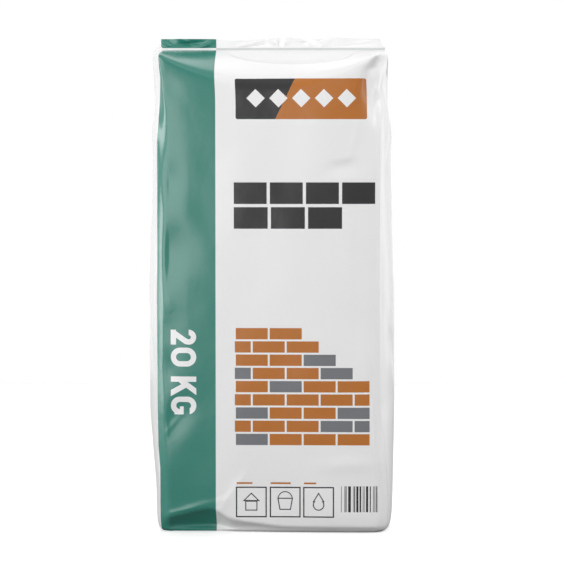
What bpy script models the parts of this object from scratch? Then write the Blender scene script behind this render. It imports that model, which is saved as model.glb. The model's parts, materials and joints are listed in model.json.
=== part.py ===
"""A 20 kg sack of cement that stands on its base.

The sack is one tube of plastic film with a gusset down each side. Its top is pressed flat and welded
along a narrow line, and the film above the weld stands up as a fin. The gussets are tucked inwards
under the weld and open out to bulging side walls lower down. The cement fills the sack up to a level
in its shoulders, and small vent holes in the back let the air out of the headspace above.

The frame has its origin on the floor under the middle of the sack. +Z is up and the front faces -Y.
The body stands out more at the right than at the left, so the weld lies a little left of the middle.
"""

import math

import bmesh
import bpy
import numpy as np
from mathutils import Matrix

MM = 0.001

# Driving dimensions
WELD_HEIGHT = 556 * MM
WELD_BAND = 2.6 * MM
FILM = 0.2 * MM
FILM_TO_CEMENT = 0.45 * MM
WELD_OFFSET = 2.29 * MM
CEMENT_LEVEL = 520 * MM
CAVITY_TOP = 546.5 * MM

# Each profile is a size in millimetres at a height in millimetres, counted from the weld's middle. A
# crease is the corner line between a panel and a gusset, and a side is a gusset's furthest reach. They
# differ between left and right, because the filling has settled wider at the right of the base.
RIGHT_CREASE = [(0, 131), (4, 134.5), (12, 136.5), (35, 137), (60, 135.6), (80, 134), (115, 131),
                (150, 128.6), (262, 126.6), (405, 127.4), (490, 129), (515, 131.5), (540, 135.4),
                (550, 136), (556, 133.7)]
LEFT_CREASE = [(0, 122.5), (4, 124.5), (12, 126), (35, 127), (60, 128), (145, 130), (262, 131), (378, 130),
               (490, 129.6), (515, 131.5), (540, 135.4), (550, 136), (556, 133.7)]
BACK_CREASE = [(0, 122), (4, 127), (12, 128.8), (35, 129.2), (140, 130.5), (300, 130.6), (440, 132.5),
               (480, 135.4), (505, 136.8), (543, 136.8), (550, 136), (556, 133.7)]
RIGHT_SIDE = [(0, 136.5), (2.5, 139), (7, 140.6), (18, 142.2), (51, 143.3), (87, 144.5), (145, 145.7),
              (262, 145.7), (320, 143.9), (379, 142.2), (438, 140.4), (496, 138.6), (540, 137), (556, 133.9)]
LEFT_SIDE = [(0, 129), (2.5, 131), (7, 132.2), (18, 133), (51, 134), (87, 136.9), (145, 140.4),
             (262, 141.3), (320, 140.4), (379, 138), (438, 136.9), (496, 136.2), (540, 136.9), (556, 133.9)]
CREASE_DEPTH = [(0, 42), (2.5, 46), (8, 49), (20, 50.5), (230, 51), (400, 50), (455, 46.5), (480, 42),
                (500, 34.5), (520, 25.5), (540, 13.5), (550, 6.5), (556, 1.2)]
MIDDLE_DEPTH = [(0, 56), (2.5, 58.8), (8, 60.2), (20, 60.8), (140, 61), (320, 61), (440, 60.8), (490, 60.4),
                (505, 59.8), (514, 58), (520, 54.6), (526, 48), (534, 36.5), (545, 19), (556, 1.2)]
GUSSET_TUCK = [(0, 0), (460, 0), (490, 3), (505, 9), (520, 20), (530, 29), (540, 39), (548, 47), (556, 53)]
FOLD_GROOVE = [(0, 0.8), (60, 1.2), (400, 1.2), (530, 0)]

# A panel is flat between two ridge lines and falls off straight from them to its creases. A ridge lies
# at a share of the crease's distance, and its sharpness is the power in the formula of panel_depth.
RIDGE_RIGHT = [(0, 0.93), (80, 0.95), (130, 0.92), (190, 0.86), (250, 0.77), (370, 0.77), (410, 0.8),
               (450, 0.77), (480, 0.77), (505, 0.79), (530, 0.83), (541, 0.88), (550, 0.93), (556, 0.96)]
RIDGE_LEFT = [(0, 0.945), (300, 0.94), (390, 0.92), (440, 0.895), (475, 0.91), (500, 0.93), (522, 0.92),
              (541, 0.92), (550, 0.94), (556, 0.96)]
RIGHT_SHARPNESS = [(0, 2.8), (430, 2.8), (480, 5), (515, 9), (556, 9)]
LEFT_SHARPNESS = [(0, 6), (330, 5), (400, 3.5), (470, 3.5), (500, 6), (515, 9), (556, 9)]

# The flat front and back end below the weld in an arch, whose drop is 1 - |share| ^ power of its middle
# one and no less than the rim's share of it
ARCH_POWER = 2
ARCH_RIM = 0.2
ARCH_FLOOR = 300 * MM
TUCK_POWER = 1.35
FOLD_GROOVE_SHARE = 0.16

# The panels turn under at the base, below a hem height that changes across them
HEM_HEIGHT = [(-130, 9), (-112, 17), (-98, 20.5), (-64, 22.5), (-57, 17), (-43, 11), (-23, 8.5), (5, 5),
              (28, 3), (52, 3), (70, 6), (120, 7), (135, 6)]
HEM_SLOPE = 1.15
EDGE_FADE = 9

# Dents as across, height, half length, half width, angle in degrees and depth, seen from their side
FRONT_DENTS = [(-115, 402, 24, 13, 88, 3.2), (-109, 325, 30, 21, 84, 4.6), (-119, 245, 20, 9, 92, 2.2),
               (-116, 188, 16, 10, 92, 3.0), (-106, 132, 26, 15, 60, 2.8), (86, 420, 17, 9, 10, 2.2)]
BACK_DENTS = [(-60, 300, 90, 26, 74, 1.6), (66, 190, 80, 22, 100, 1.4), (116, 380, 24, 12, 90, 2.6),
              (-117, 260, 22, 12, 88, 2.4), (115, 150, 26, 11, 84, 2.2)]
RIGHT_DENTS = [(22, 330, 34, 8, 60, 1.4), (-20, 214, 40, 8, 115, 1.3), (18, 110, 36, 8, 70, 1.4)]
LEFT_DENTS = [(-20, 340, 36, 8, 60, 1.4), (20, 232, 40, 8, 112, 1.4), (-16, 120, 36, 8, 75, 1.2)]

# A shallow hollow like a lens hangs under the weld, as middle, top, half length, height and depth
FRONT_LENS = (24, 555, 74, 16, 7.0)
BACK_LENS = (8, 555, 80, 14, 6.0)

# Fin above the weld
FIN_TOP = [(-134, 567.9), (-125, 569.2), (-66, 569), (-50, 567.2), (-30, 566.9), (-10, 568.5), (12, 570.4),
           (30, 570), (42, 567.9), (52, 568.2), (66, 570.2), (100, 569.6), (128, 569), (134, 568.5)]
FIN_HALF_THICKNESS = 0.7 * MM
WELD_HALF_THICKNESS = 1.2 * MM
WELD_HALF_WIDTH = 133.7 * MM
FIN_TOP_HALF_WIDTH = 128 * MM
FIN_SWAYS = [(1.3 * MM, 23 * MM, 0.6), (0.8 * MM, 9.5 * MM, 2.0)]
FIN_STEPS = 3

# Vent holes through the back, above the cement
VENT_COUNT = 5
VENT_SPACING = 16 * MM
VENT_RADIUS = 0.6 * MM
VENT_HEIGHT = 532 * MM
VENT_REACH = (25 * MM, 50 * MM)

FLAT_STEPS = 14
PANEL_STEPS = FLAT_STEPS + 4
GUSSET_STEPS = 10
BODY_HEIGHTS = [0, 2, 5, 9, 14, 19, 25, 40, 62, 90, 115, 135, 155, 172, 188, 204, 225, 245, 265, 290, 312,
                335, 358, 380, 400, 420, 440, 458, 474, 488, 500, 510, 520, 527, 534, 538, 542, 546.5, 551,
                554.5]
CEMENT_COLOUR = (0.33, 0.33, 0.34, 1.0)
FILM_COLOUR = (0.86, 0.86, 0.86, 1.0)


def size_at(profile, place):
    """The size in metres at a place in metres, on a smooth curve through a profile's points."""
    places, sizes = (np.array(column, float) * MM for column in zip(*profile))
    return float(smooth_through(places, sizes, place))


def share_at(profile, height):
    """A number without a unit at a height in metres, on straight lines through a profile's points."""
    heights, values = zip(*profile)
    return float(np.interp(height / MM, heights, values))


def smooth_through(xs, ys, x):
    """Cubics between the points that never overshoot: a slope is the harmonic mean of its neighbours."""
    x = min(max(x, xs[0]), xs[-1])
    steps = np.diff(xs)
    rises = np.diff(ys) / steps
    slopes = np.zeros(len(xs))
    for i in range(1, len(xs) - 1):
        if rises[i - 1] * rises[i] > 0:
            slopes[i] = 2 * rises[i - 1] * rises[i] / (rises[i - 1] + rises[i])
    slopes[0], slopes[-1] = rises[0], rises[-1]
    i = min(int(np.searchsorted(xs, x, side="right")) - 1, len(steps) - 1)
    t = (x - xs[i]) / steps[i]
    return (ys[i] * (1 + 2 * t) * (1 - t) ** 2 + slopes[i] * steps[i] * t * (1 - t) ** 2
            + ys[i + 1] * t * t * (3 - 2 * t) + slopes[i + 1] * steps[i] * t * t * (t - 1))


def dent_at(dents, across, height):
    """How deep the dents are together at a place on their side, in metres."""
    total = 0.0
    for middle, level, length, width, angle, depth in dents:
        turn = math.radians(angle)
        x, z = across / MM - middle, height / MM - level
        along, off = x * math.cos(turn) + z * math.sin(turn), z * math.cos(turn) - x * math.sin(turn)
        total += depth * MM * math.exp(-((along / length) ** 2) - (off / width) ** 2)
    return total


def lens_at(lens, across, height):
    """How deep the hollow under the weld is at a place on a panel, in metres."""
    middle, top, length, low, depth = lens
    reach = math.sqrt(max(1e-6, 1 - ((across / MM - middle) / length) ** 2))
    share = min(1.0, max(0.0, (top - height / MM) / (low * reach)))
    return depth * MM * reach * 4 * share * (1 - share)


def panel_shares(ridges):
    """Places across a panel from -1 to 1, with one on each ridge line. The last crease is left out."""
    left, right = ridges
    flat = [-left + (left + right) * i / FLAT_STEPS for i in range(FLAT_STEPS + 1)]
    return [-1, -(1 + left) / 2] + flat + [(1 + right) / 2]


def panel_depth(height, share, ridge, power):
    """Half the sack's depth at a share of the crease's distance: flat, then falling to the crease."""
    arch = max(1 - abs(share) ** ARCH_POWER, ARCH_RIM)
    level = max(WELD_HEIGHT - (WELD_HEIGHT - height) / arch, min(height, ARCH_FLOOR))
    edge, middle = size_at(CREASE_DEPTH, height), size_at(MIDDLE_DEPTH, level)
    fall = (1 - ridge) / max(1 - abs(share), 1e-3)
    return edge + (middle - edge) * (1 + fall**power) ** (-1 / power)


def panel_line(height, creases, ridges, powers, dents, lens):
    """A panel's outline from its left crease to its right one, as (across, outwards) points."""
    line = []
    for share in panel_shares(ridges):
        turn = share > 0
        across = creases[turn] * share
        depth = panel_depth(height, share, ridges[turn], powers[turn])
        fade = min(1.0, EDGE_FADE * (1 - abs(share)))
        depth -= HEM_SLOPE * max(0.0, size_at(HEM_HEIGHT, across) - height) * fade
        depth -= (dent_at(dents, across, height) + lens_at(lens, across, height)) * fade
        line.append((across, depth))
    return line


def gusset_line(height, start, end, side, dents):
    """A gusset's outline from one crease to the next, as (across, outwards) points."""
    edge, tuck = size_at(CREASE_DEPTH, height), size_at(GUSSET_TUCK, height)
    groove = size_at(FOLD_GROOVE, height)
    line = []
    for i in range(GUSSET_STEPS):
        share = 2 * i / GUSSET_STEPS - 1
        out = start + (end - start) * (1 + share) / 2 + (side - (start + end) / 2) * (1 - share**2)
        out -= tuck * (1 - abs(share)) ** TUCK_POWER
        out -= groove * math.exp(-((share / FOLD_GROOVE_SHARE) ** 2))
        fade = min(1.0, EDGE_FADE * (1 - abs(share)))
        line.append((edge * share, out - dent_at(dents, edge * share, height) * fade))
    return line


def body_ring(height):
    """The sack's outline at a height: front panel, right gusset, back panel, left gusset."""
    left, right, back = (size_at(crease, height) for crease in (LEFT_CREASE, RIGHT_CREASE, BACK_CREASE))
    ridges = share_at(RIDGE_LEFT, height), share_at(RIDGE_RIGHT, height)
    powers = share_at(LEFT_SHARPNESS, height), share_at(RIGHT_SHARPNESS, height)
    front = panel_line(height, (left, right), ridges, powers, FRONT_DENTS, FRONT_LENS)
    rear = panel_line(height, (back, back), ridges[::-1], powers[::-1], BACK_DENTS, BACK_LENS)
    right_side = gusset_line(height, right, back, size_at(RIGHT_SIDE, height), RIGHT_DENTS)
    left_side = gusset_line(height, back, left, size_at(LEFT_SIDE, height), LEFT_DENTS)
    return ([(x, -out, height) for x, out in front] + [(out, y, height) for y, out in right_side]
            + [(-x, out, height) for x, out in rear] + [(-out, -y, height) for y, out in left_side])


def fin_ring(share, half_thickness):
    """The fin's outline at a share of its height above the weld. It sways to the front and the back."""
    half_width = WELD_HALF_WIDTH + (FIN_TOP_HALF_WIDTH - WELD_HALF_WIDTH) * share
    low = WELD_HEIGHT + WELD_BAND
    flat = panel_shares((RIDGE_LEFT[-1][1], RIDGE_RIGHT[-1][1]))
    turns = [2 * i / GUSSET_STEPS - 1 for i in range(GUSSET_STEPS)]
    places = ([(half_width * x, -1) for x in flat] + [(half_width, y) for y in turns]
              + [(-half_width * x, 1) for x in flat] + [(-half_width, -y) for y in turns])
    ring = []
    for x, side in places:
        sway = sum(rise * math.sin(x / length + phase) for rise, length, phase in FIN_SWAYS)
        top = size_at(FIN_TOP, x)
        ring.append((x, share * sway + side * half_thickness, low + (top - low) * share))
    return ring


def weld_ring(height, half_thickness):
    """The pressed line of the weld, straight and level."""
    return [(x, y, height) for x, y, z in fin_ring(0, half_thickness)]


def sack_rings():
    """Every outline of the sack from its base to the fin's top edge, in the part's own frame."""
    rings = [body_ring(height * MM) for height in BODY_HEIGHTS]
    rings += [weld_ring(WELD_HEIGHT, WELD_HALF_THICKNESS),
              weld_ring(WELD_HEIGHT + WELD_BAND, WELD_HALF_THICKNESS)]
    rings += [fin_ring(step / FIN_STEPS, FIN_HALF_THICKNESS) for step in range(1, FIN_STEPS + 1)]
    return [[(x - WELD_OFFSET, y, z) for x, y, z in ring] for ring in rings]


def loft(name, rings):
    """A closed mesh through the rings, with a flat face at each end."""
    shape = bmesh.new()
    loops = [[shape.verts.new(point) for point in ring] for ring in rings]
    for below, above in zip(loops, loops[1:]):
        for i in range(len(below)):
            j = (i + 1) % len(below)
            shape.faces.new((below[i], below[j], above[j], above[i]))
    shape.faces.new(loops[0][::-1])
    shape.faces.new(loops[-1])
    bmesh.ops.recalc_face_normals(shape, faces=shape.faces)
    # Lofts inside one another split their faces along the same diagonals, so that they stay parallel
    walls = [face for face in shape.faces if len(face.verts) == 4]
    bmesh.ops.triangulate(shape, faces=walls, quad_method="FIXED")
    mesh = bpy.data.meshes.new(name)
    shape.to_mesh(mesh)
    shape.free()
    return mesh


def rings_inset(distance, top):
    """The sack's outlines moved inwards by a distance, up to the last one that is no higher than top."""
    mesh = loft("guide", sack_rings())
    shape = bmesh.new()
    shape.from_mesh(mesh)
    bpy.data.meshes.remove(mesh)
    shape.normal_update()
    points = [vert.co - vert.normal * distance * vert.calc_shell_factor() for vert in shape.verts]
    shape.free()
    size = 2 * (PANEL_STEPS + GUSSET_STEPS)
    kept = sum(height * MM <= top for height in BODY_HEIGHTS)
    rings = [points[i * size:(i + 1) * size] for i in range(kept)]
    # The lowest and the highest outline lie level, so that they close with flat faces
    for ring, level in ((rings[0], distance), (rings[-1], min(point.z for point in rings[-1]))):
        for point in ring:
            point.z = level
    return rings


def material(name, colour, roughness):
    """A plain material for something that isn't metal."""
    made = bpy.data.materials.new(name)
    made.use_nodes = True
    shader = made.node_tree.nodes["Principled BSDF"]
    shader.inputs["Base Color"].default_value = colour
    shader.inputs["Roughness"].default_value = roughness
    return made


def piece(name, mesh, collection, finish=None):
    """An object of the mesh in the collection. One without a finish is a cutter."""
    made = bpy.data.objects.new(name, mesh)
    collection.objects.link(made)
    if finish:
        mesh.materials.append(finish)
        mesh.shade_smooth()
        mesh.set_sharp_from_angle(angle=math.radians(40))
    else:
        made.hide_render = True
        made.display_type = "WIRE"
    return made


def cut(target, cutter, name):
    """A Boolean that takes the cutter's shape out of the target."""
    boolean = target.modifiers.new(name, "BOOLEAN")
    boolean.operation = "DIFFERENCE"
    boolean.object = cutter


def vent_mesh():
    """Short rods across the back panel, one for each vent hole."""
    shape = bmesh.new()
    near, far = VENT_REACH
    for i in range(VENT_COUNT):
        place = ((i - (VENT_COUNT - 1) / 2) * VENT_SPACING, (near + far) / 2, VENT_HEIGHT)
        lying = Matrix.Translation(place) @ Matrix.Rotation(math.pi / 2, 4, "X")
        bmesh.ops.create_cone(shape, cap_ends=True, segments=8, radius1=VENT_RADIUS, radius2=VENT_RADIUS,
                              depth=far - near, matrix=lying)
    mesh = bpy.data.meshes.new("vents")
    shape.to_mesh(mesh)
    shape.free()
    return mesh


def clear_scene():
    """Removes what the startup file holds."""
    for old in list(bpy.data.objects):
        bpy.data.objects.remove(old)


def new_collection(name):
    """A collection under the scene's own."""
    made = bpy.data.collections.new(name)
    bpy.context.scene.collection.children.link(made)
    return made


def main():
    """Builds the film sack with its cavity and vents, and the cement inside it."""
    clear_scene()
    parts, cutters = new_collection("cement_bag"), new_collection("cutters")
    film = material("film", FILM_COLOUR, 0.3)
    powder = material("cement_powder", CEMENT_COLOUR, 0.95)

    sack = piece("film_sack", loft("film_sack", sack_rings()), parts, film)
    cavity = piece("cavity", loft("cavity", rings_inset(FILM, CAVITY_TOP)), cutters)
    vents = piece("vents", vent_mesh(), cutters)
    cut(sack, cavity, "hollow")
    cut(sack, vents, "vent_holes")

    inset = FILM + FILM_TO_CEMENT
    piece("cement", loft("cement", rings_inset(inset, CEMENT_LEVEL)), parts, powder)


main()
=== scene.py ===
"""Looks for a standing 20 kg sack of cement: a printed plastic film sack and the powder inside it.

The sack's front faces -Y. Sizes in the classes are in millimetres, and meshes are built in metres.
"""

import json
import logging
import math
from dataclasses import dataclass, field
from enum import Enum
from functools import reduce
from operator import or_

import bpy
import numpy as np
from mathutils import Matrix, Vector

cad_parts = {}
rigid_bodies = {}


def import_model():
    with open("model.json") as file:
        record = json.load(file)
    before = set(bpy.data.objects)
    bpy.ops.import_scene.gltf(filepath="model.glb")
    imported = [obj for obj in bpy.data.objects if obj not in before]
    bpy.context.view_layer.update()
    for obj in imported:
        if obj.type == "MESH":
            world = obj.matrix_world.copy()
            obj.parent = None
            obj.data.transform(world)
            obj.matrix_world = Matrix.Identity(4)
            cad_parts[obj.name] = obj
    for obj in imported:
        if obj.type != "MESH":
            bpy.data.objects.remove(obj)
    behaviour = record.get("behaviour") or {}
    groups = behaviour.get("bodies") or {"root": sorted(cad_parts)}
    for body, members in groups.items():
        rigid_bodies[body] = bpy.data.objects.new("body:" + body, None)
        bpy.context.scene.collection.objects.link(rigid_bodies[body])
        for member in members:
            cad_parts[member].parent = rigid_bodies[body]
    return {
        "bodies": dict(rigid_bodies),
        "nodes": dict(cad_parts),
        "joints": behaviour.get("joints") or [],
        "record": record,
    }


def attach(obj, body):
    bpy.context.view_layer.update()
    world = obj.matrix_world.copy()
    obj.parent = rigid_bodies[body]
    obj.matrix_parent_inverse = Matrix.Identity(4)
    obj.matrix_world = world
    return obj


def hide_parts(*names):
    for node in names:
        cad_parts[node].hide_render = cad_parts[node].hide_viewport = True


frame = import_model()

LOG = logging.getLogger("cement_sack")
MM = 0.001
Colour = tuple[float, float, float]
Pair = tuple[float, float]
Place = tuple[float, float, float]
Edges = tuple[float, float, float, float]
Points = tuple[Pair, ...]


def linear(red: int, green: int, blue: int) -> Colour:
    """Turn a colour of 0 to 255 steps, as a screen shows it, into linear light.

    Args:
        red: red step.
        green: green step.
        blue: blue step.

    Returns:
        The colour in linear light: ((c + 0.055) / 1.055) to the power 2.4, or c / 12.92 when dark.
    """
    parts = np.array([red, green, blue]) / 255.0
    light = np.where(parts > 0.04045, ((parts + 0.055) / 1.055) ** 2.4, parts / 12.92)
    return tuple(float(part) for part in light)


def smooth_step(x: np.ndarray, low: float, high: float) -> np.ndarray:
    """Rise from 0 at low to 1 at high as s * s * (3 - 2 s).

    Args:
        x: where it is read.
        low: where the rise starts.
        high: where the rise ends.

    Returns:
        The share of the rise at each x.
    """
    s = np.clip((x - low) / (high - low), 0.0, 1.0)
    return s * s * (3.0 - 2.0 * s)


# Shape


class Side(Enum):
    """The parts of the sack's film that a fold can lie in."""

    FRONT = 0
    RIGHT = 1
    BACK = 2
    LEFT = 3
    FIN = 4


class Relief(Enum):
    """How a fold rises across its width."""

    SOFT = "soft"
    RIDGE = "ridge"
    LENS = "lens"


@dataclass(frozen=True)
class Profile:
    """A size at each place, on a smooth curve through (place, size) points in millimetres."""

    points: Points

    def at(self, place: np.ndarray) -> np.ndarray:
        """Read the size at places.

        The curve is a cubic between each two points, whose slope at a point is the harmonic mean of the
        slopes to its neighbours, so that it never swings past the points.

        Args:
            place: heights, or places across, in millimetres.

        Returns:
            The sizes in millimetres.
        """
        xs, ys = np.array(self.points, float).T
        step = np.diff(xs)
        rise = np.diff(ys) / step
        product = rise[:-1] * rise[1:]
        total = np.where(product > 0, rise[:-1] + rise[1:], 1.0)
        inner = np.where(product > 0, 2.0 * product / total, 0.0)
        slope = np.concatenate([rise[:1], inner, rise[-1:]])
        x = np.clip(place, xs[0], xs[-1])
        i = np.clip(np.searchsorted(xs, x, side="right") - 1, 0, len(step) - 1)
        t = (x - xs[i]) / step[i]
        return (ys[i] * (1 + 2 * t) * (1 - t) ** 2 + slope[i] * step[i] * t * (1 - t) ** 2
                + ys[i + 1] * t * t * (3 - 2 * t) + slope[i + 1] * step[i] * t * t * (t - 1))


@dataclass(frozen=True)
class Fold:
    """A dent, ridge or lens in the film, placed by its middle on one side. Sizes in millimetres."""

    side: Side
    across: float
    height: float
    length: float
    width: float
    angle: float
    rise: float
    relief: Relief = Relief.SOFT

    def push(self, across: np.ndarray, height: np.ndarray) -> np.ndarray:
        """How far the fold moves the film outwards.

        With a along the fold and b across it, a soft fold is rise * exp(-(a/length)^2 - (b/width)^2).
        A ridge has a sharp crest, exp(-(sqrt(b^2 + 0.5) - 0.7) / width) in place of the second term.
        A lens hangs below its middle line with a crisp edge: with r = sqrt(1 - (a/length)^2) and
        s = -b / (width * r) it is rise * r * 4 s (1 - s).

        Args:
            across: places across the side.
            height: places up the side.

        Returns:
            The outward moves in millimetres.
        """
        turn = math.radians(self.angle)
        x, z = across - self.across, height - self.height
        a = x * math.cos(turn) + z * math.sin(turn)
        b = z * math.cos(turn) - x * math.sin(turn)
        if self.relief is Relief.LENS:
            reach = np.sqrt(np.maximum(1.0 - (a / self.length) ** 2, 1e-6))
            s = np.clip(-b / (self.width * reach), 0.0, 1.0)
            return self.rise * reach * 4.0 * s * (1.0 - s)
        if self.relief is Relief.RIDGE:
            crest = np.exp(-(np.sqrt(b * b + 0.5) - 0.7) / self.width)
            return self.rise * np.exp(-((a / self.length) ** 2)) * crest
        return self.rise * np.exp(-((a / self.length) ** 2) - (b / self.width) ** 2)


@dataclass(frozen=True)
class Ripple:
    """Shallow waves all over the film, from a seed that fixes them."""

    seed: int
    wavelength: float
    rise: float
    waves: int = 9
    stretch: float = 1.6
    spread: Pair = (0.7, 1.5)

    def push(self, along: np.ndarray, height: np.ndarray) -> np.ndarray:
        """Add up sine waves of random heading, length and phase, longer up the film than across it.

        Args:
            along: distances along the film.
            height: heights.

        Returns:
            The outward moves in millimetres.
        """
        dice = np.random.default_rng(self.seed)
        heading = dice.uniform(0.0, 2.0 * math.pi, self.waves)
        rate = 2.0 * math.pi / (self.wavelength * dice.uniform(*self.spread, self.waves))
        phase = dice.uniform(0.0, 2.0 * math.pi, self.waves)
        total = np.zeros(np.broadcast(along, height).shape)
        for turn, speed, start in zip(heading, rate, phase):
            way = along * math.cos(turn) + height / self.stretch * math.sin(turn)
            total = total + np.sin(speed * way + start)
        return self.rise * total / math.sqrt(self.waves)


@dataclass
class FilmSack:
    """The sack: one tube of film with a gusset down each side, welded flat across the top.

    The profiles go by height, but the hem and the fin's top go by the place across. Creases and sides
    are half widths, depths are half depths, and a ridge is the share of the crease's half width where
    the flat panel ends. fin_sway gives each sine's rise, length and phase, row_bands where each band of
    rows starts and how many it has, and print_lean how far the print leans over between two heights.
    """

    weld: float = 556.0
    weld_foot: float = 0.4
    weld_band: float = 2.6
    weld_thickness: float = 1.2
    weld_offset: float = 2.29
    front_columns: int = 132
    back_columns: int = 92
    gusset_columns: int = 34
    tuck_power: float = 1.35
    right_crease: Profile = Profile((
        (0, 131), (4, 134.5), (12, 136.5), (35, 137), (60, 135.6), (80, 134), (115, 131), (150, 128.6),
        (262, 126.6), (405, 127.4), (490, 129), (515, 131.5), (540, 135.4), (550, 136), (556, 133.7)))
    left_crease: Profile = Profile((
        (0, 122.5), (4, 123.8), (12, 124.3), (35, 124.6), (60, 125.6), (145, 127.4), (262, 128), (378, 127.6),
        (490, 128), (515, 131), (540, 135.4), (550, 136), (556, 133.7)))
    back_crease: Profile = Profile((
        (0, 122), (4, 127), (12, 128.8), (35, 129.2), (140, 130.5), (300, 130.6), (440, 132.5),
        (480, 135.4), (505, 136.8), (543, 136.8), (550, 136), (556, 133.7)))
    right_side: Profile = Profile((
        (0, 136.5), (2.5, 139), (7, 140.6), (18, 142.2), (51, 143.3), (87, 144.5), (145, 145.7), (262, 145.7),
        (320, 143.9), (379, 142.2), (438, 140.4), (496, 138.6), (540, 137), (556, 133.9)))
    left_side: Profile = Profile((
        (0, 129), (2.5, 131), (7, 132.2), (18, 133), (51, 134), (87, 136.9), (145, 140.4), (262, 141.3),
        (320, 140.4), (379, 138), (438, 136.9), (496, 136.2), (540, 136.9), (556, 133.9)))
    crease_depth: Profile = Profile((
        (0, 42), (2.5, 46), (8, 49), (20, 50.5), (230, 51), (400, 50), (455, 46.5), (480, 42), (500, 34.5),
        (520, 25.5), (540, 13.5), (550, 6.5), (556, 1.2)))
    middle_depth: Profile = Profile((
        (0, 56), (2.5, 58.8), (8, 60.2), (20, 60.8), (140, 61), (320, 61), (440, 60.8), (490, 60.4),
        (505, 59.8), (514, 58), (520, 54.6), (526, 48), (534, 36.5), (545, 19), (556, 1.2)))
    ridge_right: Profile = Profile((
        (0, 0.93), (80, 0.95), (130, 0.92), (190, 0.86), (250, 0.77), (370, 0.77), (410, 0.8), (450, 0.77),
        (480, 0.77), (505, 0.79), (530, 0.83), (541, 0.88), (550, 0.93), (556, 0.96)))
    ridge_left: Profile = Profile((
        (0, 0.915), (60, 0.918), (150, 0.93), (300, 0.935), (390, 0.92), (440, 0.895), (475, 0.91),
        (500, 0.93), (522, 0.92), (541, 0.92), (550, 0.94), (556, 0.96)))
    right_sharpness: Profile = Profile(((0, 2.8), (430, 2.8), (480, 5), (515, 9), (556, 9)))
    left_sharpness: Profile = Profile((
        (0, 10), (330, 10), (400, 6), (470, 5), (500, 8), (515, 10), (556, 10)))
    roll: Profile = Profile((
        (0, 0.2), (100, 0.5), (170, 2.4), (230, 3.6), (440, 4), (490, 2), (530, 0), (556, 0)))
    roll_start: float = 0.7
    arch_power: float = 2.0
    arch_rim: float = 0.2
    arch_foot: float = 300.0
    hem: Profile = Profile((
        (-130, 9), (-118, 16.5), (-100, 21), (-90, 23.5), (-78, 26.5), (-66, 28), (-57, 25), (-50, 20),
        (-43, 16.5), (-32, 14), (-9, 11), (14, 8), (60, 7), (122, 6.5), (135, 6)))
    hem_slope: float = 1.5
    hem_reach: float = 24.0
    hem_foot: Profile = Profile(((0, 0.5), (2, 0.62), (8, 1), (30, 1)))
    hem_taper: float = 9.0
    tuck: Profile = Profile((
        (0, 0), (460, 0), (490, 3), (505, 9), (520, 20), (530, 29), (540, 39), (548, 47), (556, 53)))
    fin_top: Profile = Profile((
        (-134, 567.9), (-125, 569.2), (-66, 569), (-50, 567.2), (-30, 566.9), (-10, 568.5), (12, 570.4),
        (30, 570), (42, 567.9), (52, 568.2), (66, 570.2), (100, 569.6), (128, 569), (134, 568.5)))
    fin_rows: int = 22
    fin_narrowing: Pair = (3.4, 2.4)
    fin_sway: tuple[Place, ...] = ((1.3, 23.0, 0.6), (0.8, 9.5, 2.0))
    fin_film: Pair = (0.5, 11.0)
    lip: Points = ((1.0, 0.35), (0.72, 0.3))
    row_bands: tuple[tuple[float, int], ...] = ((0.0, 5), (4.0, 14), (30.0, 147), (470.0, 87))
    girth_height: float = 300.0
    fixed_ends: Pair = (12.0, 548.0)
    half_panel: float = 130.0
    half_gusset: float = 47.0
    bead_gusset: float = 50.0
    bead: Pair = (0.6, 2.4)
    bead_dip: Pair = (5.0, 2.8)
    base_rows: int = 22
    base_slit: Pair = (0.1, 0.03)
    base_lift: float = 0.8
    base_flap: Pair = (7.0, 7.5)
    print_lean: Place = (2.6, 490.0, 556.0)
    folds: tuple[Fold, ...] = ()
    ripples: tuple[Ripple, ...] = ()

    def columns(self) -> tuple[np.ndarray, np.ndarray]:
        """Lay the grid's columns round the tube: front, right gusset, back, left gusset.

        On a panel t = 0.5 s + 0.5 sin(pi s / 2), with s even from -1 to 1, so that the columns are
        closer at the creases. On a gusset t is even.

        Returns:
            Each column's side number and its place t from -1 to 1 on that side.
        """
        counts = (self.front_columns, self.gusset_columns, self.back_columns, self.gusset_columns)
        even = [np.arange(count) / count * 2.0 - 1.0 for count in counts]
        parts = [0.5 * s + 0.5 * np.sin(0.5 * math.pi * s) if i % 2 == 0 else s for i, s in enumerate(even)]
        return np.repeat(np.arange(4), counts), np.concatenate(parts)

    def heights(self) -> np.ndarray:
        """Lay the rows of the standing walls in even bands, finer near the base and in the shoulders.

        Returns:
            The rows' heights in millimetres, from the base to the weld.
        """
        starts, counts = zip(*self.row_bands)
        ends = (*starts[1:], self.weld)
        bands = [np.linspace(*band, endpoint=False) for band in zip(starts, ends, counts)]
        return np.concatenate([*bands, [self.weld]])

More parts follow.
